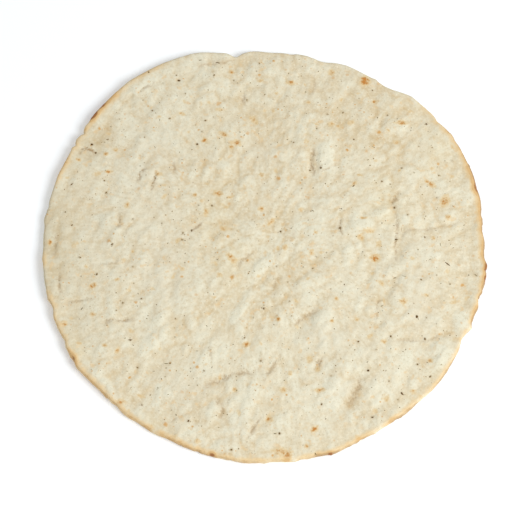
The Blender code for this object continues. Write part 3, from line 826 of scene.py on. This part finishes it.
def build_crust(material, draw):
    """The baked crust as one closed mesh."""
    shell = Shell()
    border_inset = TOP_ROUND * (1 - math.cos(math.radians(TOP_RINGS[0])))
    x, y = reaching(*round_grid(TOP_CELLS), border_inset)
    angle = np.arctan2(y, x)
    inset = outline(angle) - np.hypot(x, y)
    tone = PATCH_TONE * (patches(x, y, TAN_SEEN) - patches(x, y, PALE_SEEN))
    clear, *lumps = lump_waves(x, y)
    top = shell.add_points(
        x,
        y,
        top_height(x, y),
        rim=(*browned(x, y, inset), 0.0),
        crease=nearest_crease(x, y),
        lumps=tuple(lumps),
        # the second, how low the solid's relief is, makes hollows browner, partly as painted shade
        tone=(tone - PLATE_TONE * plates(x, y), -relief(x, y) / MM, clear),
        # painted shade along the left, then greyer and yellower patches
        dull=tuple(patches(x, y, seen) for seen in (PAINTED_SHADE_SEEN, GREYER_SEEN, YELLOWER_SEEN)),
    )
    shell.add_faces(grid_faces(TOP_CELLS))
    plain = {"crease": 0.0, "lumps": 3 * (PLAIN_LUMPS,), "tone": 0.0, "dull": 0.0}

    ring = top[grid_border(TOP_CELLS)]
    angle = angle[grid_border(TOP_CELLS)]
    for degrees in TOP_RINGS[1:]:
        turn = math.radians(degrees)
        inset = TOP_ROUND * (1 - math.cos(turn))
        x, y, z = rim_ring(angle, inset, RIM_MIDDLE + (1 - RIM_MIDDLE) * math.sin(turn))
        lower = shell.add_points(x, y, z, rim=(*browned(x, y, inset), 0.0), **plain)
        shell.add_band(ring, lower)
        ring = lower
    for degrees in FOOT_RINGS:
        turn = math.radians(degrees)
        inset = FOOT_ROUND * (1 - math.cos(turn))
        x, y, z = rim_ring(angle, inset, RIM_MIDDLE * (1 - math.sin(turn)))
        # the lower side takes more of the line, partly as painted shade where the rim meets the floor
        band, line = browned(x, y, 0.0)
        lower = shell.add_points(x, y, z, rim=(band, SIDE_LINE * line, SIDE_TOAST), **plain)
        shell.add_band(ring, lower)
        ring = lower

    x, y = reaching(*round_grid(TOP_CELLS // 2), UNDER_INSET)
    angle = np.arctan2(y, x)
    share = np.hypot(x, y) / outline(angle)
    dimples = sum(
        tall * np.abs(ripples(x, y, length, seed)) for length, tall, seed in UNDER_DIMPLES
    )
    rim = (UNDER_BROWN * step(share, UNDER_BROWN_FROM, 1.0), 0.0, 1.0)
    under = shell.add_points(x, y, curl(angle, share) + dimples, rim=rim, **plain)
    shell.add_faces(under[grid_faces(TOP_CELLS // 2)][:, ::-1])
    shell.add_halving_band(ring, under[grid_border(TOP_CELLS // 2)])
    crust = shell.finish("baked_crust", material)
    mark_spots(crust.data, draw)
    mark_specks(crust.data)
    return crust


# ---------------------------------------------------------------- pepper and herbs


def pebble():
    """A unit grain with twenty faces: its points and triangles."""
    grain = bmesh.new()
    bmesh.ops.create_icosphere(grain, subdivisions=1, radius=1.0)
    points = np.array([vertex.co for vertex in grain.verts])
    faces = np.array([[vertex.index for vertex in face.verts] for face in grain.faces])
    grain.free()
    return points, faces


def scatter(count, draw):
    """Random places on the top, evenly spread, clear of the rim."""
    places = []
    while len(places) < count:
        x, y = (draw.uniform(-RADIUS, RADIUS) for _ in range(2))
        if math.hypot(x, y) < RADIUS - DUST_INSET:
            places.append((x, y))
    return places


def build_grains(name, material, grains, draw):
    """Grains joined into one piece; each is x, y, half length, width and height, heading and tint."""
    points, faces = pebble()
    shell = Shell()
    x, y = (np.array([grain[axis] for grain in grains]) for axis in (0, 1))
    for (middle_x, middle_y, *half, heading, tint), height in zip(grains, top_height(x, y)):
        turn = Matrix.Rotation(math.radians(heading), 3, "Z")
        turn @= Matrix.Rotation(draw.uniform(-GRAIN_TILT, GRAIN_TILT), 3, "Y")
        jolt = np.array([draw.uniform(*GRAIN_JOLT) for _ in points])
        placed = (points * jolt[:, None] * half) @ np.array(turn.transposed())
        placed += (middle_x, middle_y, height + GRAIN_LIFT * half[2])
        shell.add_faces(shell.add_points(*placed.T, tint=tint)[faces])
    return shell.finish(name, material)


def pepper_grains(draw):
    """Pepper: the grains that stand out, black and grey, each with its crumbs, and the finer dust."""
    grains = []
    for marks, _, sizes, tints in PEPPER_KINDS:
        for (across, down), share in zip(marks, np.linspace(0, 1, len(marks))):
            size = between(share, *sizes) * draw.uniform(0.9, 1.1) * PIXEL
            half = (size * draw.uniform(1.0, 1.7), size * draw.uniform(0.6, 1.0), 0.4 * size)
            heading, tint = draw.uniform(0, 180), between(share, *tints)
            grains.append((*on_top(across, down), *half, heading, tint))
            for _ in range(draw.choice(PEPPER_CRUMBS)):
                away, bearing = draw.uniform(*CRUMB_AWAY), draw.uniform(0, 2 * math.pi)
                place = on_top(across + away * math.cos(bearing), down + away * math.sin(bearing))
                crumb = [side * draw.uniform(*CRUMB_SHARE) for side in half]
                grains.append((*place, *crumb, draw.uniform(0, 180), draw.uniform(*CRUMB_TINT)))
    for x, y in scatter(PEPPER_DUST, draw):
        size = 0.14 * MM + 0.20 * MM * draw.random() ** 2
        half = (size * draw.uniform(1, 1.5), size, size * 0.5)
        grains.append((x, y, *half, draw.uniform(0, 180), draw.uniform(*CRUMB_TINT)))
    return grains


def herb_grains(draw):
    """Herb: the slivers that stand out, and the finer scraps."""
    grains = []
    for (across, down, length, heading), share in zip(HERB_SEEN, np.linspace(0, 1, len(HERB_SEEN))):
        half = (length * PIXEL / 2, between(share, *HERB_WIDTH) * MM, 0.14 * MM)
        grains.append((*on_top(across, down), *half, heading, HERB_TINT * share))
    for x, y in scatter(HERB_DUST, draw):
        half = (draw.uniform(0.3, 0.75) * MM, draw.uniform(0.14, 0.26) * MM, 0.1 * MM)
        grains.append((x, y, *half, draw.uniform(0, 180), draw.random()))
    return grains


# ---------------------------------------------------------------- finishes


class Wire:
    """One output of a finish's node. Arithmetic on it adds Math nodes."""

    def __init__(self, finish, socket):
        self.finish, self.socket = finish, socket

    def maths(self, operation, *values):
        return self.finish.node("ShaderNodeMath", {"operation": operation}, dict(enumerate(values)))

    def __add__(self, other):
        return self.maths("ADD", self, other)

    def __sub__(self, other):
        return self.maths("SUBTRACT", self, other)

    def __rsub__(self, other):
        return self.maths("SUBTRACT", other, self)

    def __mul__(self, other):
        return self.maths("MULTIPLY", self, other)

    def __truediv__(self, other):
        return self.maths("DIVIDE", self, other)

    def __rtruediv__(self, other):
        return self.maths("DIVIDE", other, self)

    __radd__, __rmul__ = __add__, __mul__

    def exp(self):
        return self.maths("EXPONENT", self)

    def bell(self, sharpness):
        """1 where the value is 0, falling off on both sides of it."""
        return (self * self * -sharpness).exp()

    def step(self, start, end):
        """0 up to start, 1 from end on, and a smooth rise between; start may be the larger."""
        values = {"Value": self, "From Min": start, "From Max": end}
        return self.finish.node("ShaderNodeMapRange", {"interpolation_type": "SMOOTHSTEP"}, values)


class Finish:
    """A material, made up of nodes that end in one Principled shader."""

    def __init__(self, name):
        self.material = bpy.data.materials.new(name)
        self.material.use_nodes = True
        self.tree = self.material.node_tree
        self.shader = self.tree.nodes["Principled BSDF"]

    def node(self, kind, settings=None, values=None, out=0):
        """Adds a node: its settings first, then the values or links of its sockets."""
        made = self.tree.nodes.new(kind)
        for name, setting in (settings or {}).items():
            if name == "stops":
                self.set_stops(made.color_ramp.elements, setting)
            else:
                setattr(made, name, setting)
        for name, value in (values or {}).items():
            self.join(value, made.inputs[name])
        return Wire(self, made.outputs[out])

    def set_stops(self, elements, stops):
        while len(elements) < len(stops):
            elements.new(1.0)
        for element, (position, tint) in zip(elements, stops):
            element.position, element.color = position, shade(*tint)

    def join(self, value, socket):
        if isinstance(value, Wire):
            self.tree.links.new(value.socket, socket)
        else:
            socket.default_value = value

    def set(self, **values):
        """Joins values to the shader's sockets, named with _ for each space."""
        for name, value in values.items():
            self.join(value, self.shader.inputs[name.replace("_", " ")])

    def places(self):
        """The point's own place on the object."""
        return self.node("ShaderNodeTexCoord", out="Object")

    def parts(self, vector):
        """The three parts of a vector."""
        return [self.node("ShaderNodeSeparateXYZ", None, {0: vector}, part) for part in "XYZ"]

    def values(self, name):
        """The three values of a kind that the mesh holds at each point or face."""
        return self.parts(self.node("ShaderNodeAttribute", {"attribute_name": name}, out="Vector"))

    def grain(self, size, detail=2.0, roughness=0.5):
        """Cloudy noise, about that size in metres, from 0 to 1."""
        values = {"Vector": self.places(), "Scale": 1 / size, "Detail": detail, "Roughness": roughness}
        return self.node("ShaderNodeTexNoise", None, values)

    def cells(self, size, out="Distance"):
        """Scattered points, about that far apart: the distance to the nearest, or its own colour."""
        values = {"Vector": self.places(), "Scale": 1 / size}
        return self.node("ShaderNodeTexVoronoi", None, values, out)

    def mix(self, share, first, second):
        """Two colours mixed: the second in that share."""
        return self.node("ShaderNodeMix", {"data_type": "RGBA"}, {0: share, 6: first, 7: second}, 2)

    def ramp(self, value, stops):
        """The colour that stops of position and tint give a value between 0 and 1."""
        return self.node("ShaderNodeValToRGB", {"stops": stops}, {0: value})

    def first_of(self, colour):
        """The red part of a colour, as a value."""
        return self.node("ShaderNodeSeparateColor", None, {"Color": colour}, "Red")

    def bump(self, height, depth):
        """A normal from a height between 0 and 1, which is that deep in metres."""
        return self.node("ShaderNodeBump", None, {"Height": height, "Distance": depth})


def toasted(dough, wobble):
    """How toasted the dough is by the spots that stand out: 1 in the middle of one."""
    x, y, _ = dough.parts(dough.places())
    middle_x, middle_y, strength = dough.values("spot")
    axis_x, axis_y, roundness = dough.values("spot_axis")
    right, back = x - middle_x, y - middle_y
    along = right * axis_x + back * axis_y
    aside = (back * axis_x - right * axis_y) * roundness
    return strength * (wobble * 3.0 - (along * along + aside * aside) * 0.72).exp()


def peppered(dough, wobble):
    """The stain round each grain of pepper that stands out."""
    x, y, _ = dough.parts(dough.places())
    middle_x, middle_y, strength = dough.values("speck")
    right, back = (x - middle_x) / STAIN_RADIUS, (y - middle_y) / STAIN_RADIUS
    return strength * (wobble * 2.0 - (right * right + back * back)).exp()


def dotted(dough, apart, least, most, wobble):
    """Scattered dots, soft at their edges, whose half widths are between two shares of their spacing."""
    own = dough.first_of(dough.cells(apart, "Color"))
    reach = own * (most - least) + least
    return ((dough.cells(apart) + wobble * 0.25) / reach).step(1.0, 0.25)


def baked_dough():
    """Pale dough: whiter plates, tan hollows and creases that are partly painted shade, toasted spots and a
    browned rim.
    """
    dough = Finish("baked_dough")
    edge, line, under = dough.values("rim")
    crease_aside, crease_strength, _ = dough.values("crease")
    broad_lumps, large_lumps, small_lumps = dough.values("lumps")
    tone, hollow, clear = dough.values("tone")
    # painted shade along the left, then the greyer and yellower patches
    dull, greyer, yellower = dough.values("dull")
    wobble = dough.grain(0.0016, 2.0) - 0.5
    drifts = dough.grain(0.0130, 0.0) - 0.5
    clouds = dough.grain(0.0065, 2.0, 0.9) - 0.5
    crumb = dough.grain(0.0016, 2.0, 0.8) - 0.5
    clusters = dough.grain(0.0120, 1.0).step(0.42, 0.62)

    # Valleys and hollows are made browner and darker: partly the dough's own tone, partly painted shade
    valley = (large_lumps + wobble * 0.08).bell(90) + (small_lumps + wobble * 0.12).bell(60) * 0.6
    low = broad_lumps.bell(6) * 0.35 + large_lumps.bell(8) * 0.40 + small_lumps.bell(8) * 0.25 - 0.72
    tan_and_shade = clouds * 1.16 + drifts * 0.20 + hollow * 0.13 + tone * 0.34 + low * 0.36
    tan_and_shade = tan_and_shade + valley * (0.04 + clear * 0.14) + 0.27
    smears = dough.grain(0.0034, 1.0).step(0.58, 0.76) * (0.3 + clusters * 0.7)
    # Creases are painted darker: partly browner dough, partly painted shade where the dough drops
    patchy = 0.15 + dough.grain(0.0030, 2.0, 0.7).step(0.36, 0.60) * 1.05
    crease = crease_strength * patchy * (crease_aside + wobble * 3.5).bell(0.55)
    dust = dotted(dough, 0.0046, 0.05, 0.17, wobble) * 0.65
    dust = dust + dotted(dough, 0.0024, 0.02, 0.17, wobble) * 0.60
    freckles = dotted(dough, 0.0090, 0.00, 0.22, wobble) * 0.95
    freckles = freckles + dotted(dough, 0.0044, 0.00, 0.22, wobble) * 0.85
    spots = toasted(dough, wobble)
    ragged = dough.grain(0.0045, 4.0, 0.6) - 0.5
    brown = edge + ragged * 1.1 * edge.step(0.02, 0.4)
    base_toast = under * dough.grain(0.011, 5.0, 0.6).step(0.42, 0.68)

    cream = dough.ramp(tan_and_shade, DOUGH_TINTS)
    for share, tint in (
        (crumb.step(0.00, 0.30) * 0.80, (206, 192, 158)),
        (crumb.step(0.00, -0.30) * 0.80, (242, 234, 209)),
        # painted shade along the left: a darker, duller tint
        (dull * 0.30, (188, 176, 144)),
        (greyer * 0.30, (221, 215, 195)),
        (yellower * 0.15, (232, 214, 166)),
        (smears * 0.60, (228, 198, 150)),
        # creases: partly browner dough, partly painted shade
        (crease * 0.62, (178, 150, 112)),
        (dust * (0.35 + clusters * 0.65), (148, 128, 90)),
        (freckles * (0.45 + clusters * 0.55), (212, 164, 98)),
        (peppered(dough, wobble) * 0.60, (152, 126, 84)),
        (spots.step(0.04, 0.40) * 0.74, (224, 199, 152)),
        (spots.step(0.38, 1.00) * 0.90, (200, 154, 94)),
        (spots.step(0.85, 1.30) * 0.90, (192, 124, 48)),
        (brown.step(0.02, 0.50) * 0.85, (230, 203, 156)),
        (brown.step(0.45, 0.85) * 0.90, (218, 180, 124)),
        # the brown line: partly browning, partly painted shade towards the lamp and along the foot
        ((line + ragged * 0.9).step(0.20, 0.90) * 0.80, (173, 144, 107)),
        (brown.step(1.05, 1.50) * 0.85, (150, 92, 46)),
        (base_toast * 0.75, (214, 165, 102)),
    ):
        cream = dough.mix(share, cream, shade(*tint))

    pores = dough.grain(0.0020, 4.0, 0.7) - crease * 0.5
    dough.set(
        Base_Color=cream,
        Roughness=0.86 - 0.2 * spots.step(0.3, 1.0),
        Specular_IOR_Level=0.3,
        Normal=dough.bump(pores, 0.00036),
    )
    return dough.material


def grain_finish(name, tints, roughness, gloss, rough_size):
    """The finish of small grains, each with its own tint."""
    finish = Finish(name)
    finish.set(
        Base_Color=finish.ramp(finish.values("tint")[0], tints),
        Roughness=roughness,
        Specular_IOR_Level=gloss,
        Normal=finish.bump(finish.grain(rough_size), 0.0001),
    )
    return finish.material


def ground_pepper():
    """Black pepper, each grain between dark brown and grey brown."""
    return grain_finish("ground_pepper", PEPPER_TINTS, roughness=0.9, gloss=0.15, rough_size=0.0004)


def dried_herb():
    """Dried herb, from brown to dull green."""
    return grain_finish("dried_herb", HERB_TINTS, roughness=0.8, gloss=0.5, rough_size=0.0003)


def white_board():
    """The plain pale floor."""
    board = Finish("white_board")
    tone = board.mix(board.grain(0.4), shade(245, 249, 253), shade(247, 251, 255))
    white = shade(255, 255, 255)
    board.set(Base_Color=tone, Roughness=0.9, Emission_Color=white, Emission_Strength=FLOOR_GLOW)
    return board.material


# ---------------------------------------------------------------- floor, lights and camera


def lay_floor():
    bpy.ops.mesh.primitive_plane_add(size=FLOOR_SIZE)
    floor = bpy.context.object
    floor.name = "floor"
    floor.data.materials.append(white_board())


def light_studio():
    """One soft square lamp from the right and front, a bright sky all round, and plain colours."""
    lamp = bpy.data.lights.new("key_lamp", "AREA")
    lamp.size, lamp.energy, lamp.color = KEY_SIZE, KEY_POWER, KEY_COLOUR
    holder = bpy.data.objects.new("key_lamp", lamp)
    holder.location = KEY_PLACE
    holder.rotation_euler = (-Vector(KEY_PLACE)).to_track_quat("-Z", "Y").to_euler()
    bpy.context.scene.collection.objects.link(holder)
    sky = bpy.data.worlds.new("studio")
    sky.use_nodes = True
    background = sky.node_tree.nodes["Background"]
    background.inputs["Color"].default_value = SKY_COLOUR
    background.inputs["Strength"].default_value = SKY_STRENGTH
    bpy.context.scene.world = sky
    bpy.context.scene.view_settings.view_transform = "Standard"


def set_camera():
    lens = bpy.data.cameras.new("camera")
    lens.lens, lens.sensor_width = LENS, SENSOR
    camera = bpy.data.objects.new("camera", lens)
    camera.location = AIM + DISTANCE * Vector((0, -math.cos(ELEVATION), math.sin(ELEVATION)))
    camera.rotation_euler = (math.pi / 2 - ELEVATION, 0, 0)
    bpy.context.scene.collection.objects.link(camera)
    bpy.context.scene.camera = camera


def main():
    draw = random.Random(DRAW_SEED)
    crust = build_crust(baked_dough(), draw)
    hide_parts("crust")
    pepper = build_grains("ground_pepper", ground_pepper(), pepper_grains(draw), draw)
    herb = build_grains("dried_herb", dried_herb(), herb_grains(draw), draw)
    for piece in (crust, pepper, herb):
        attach(piece, "root")
    lay_floor()
    light_studio()
    set_camera()


main()
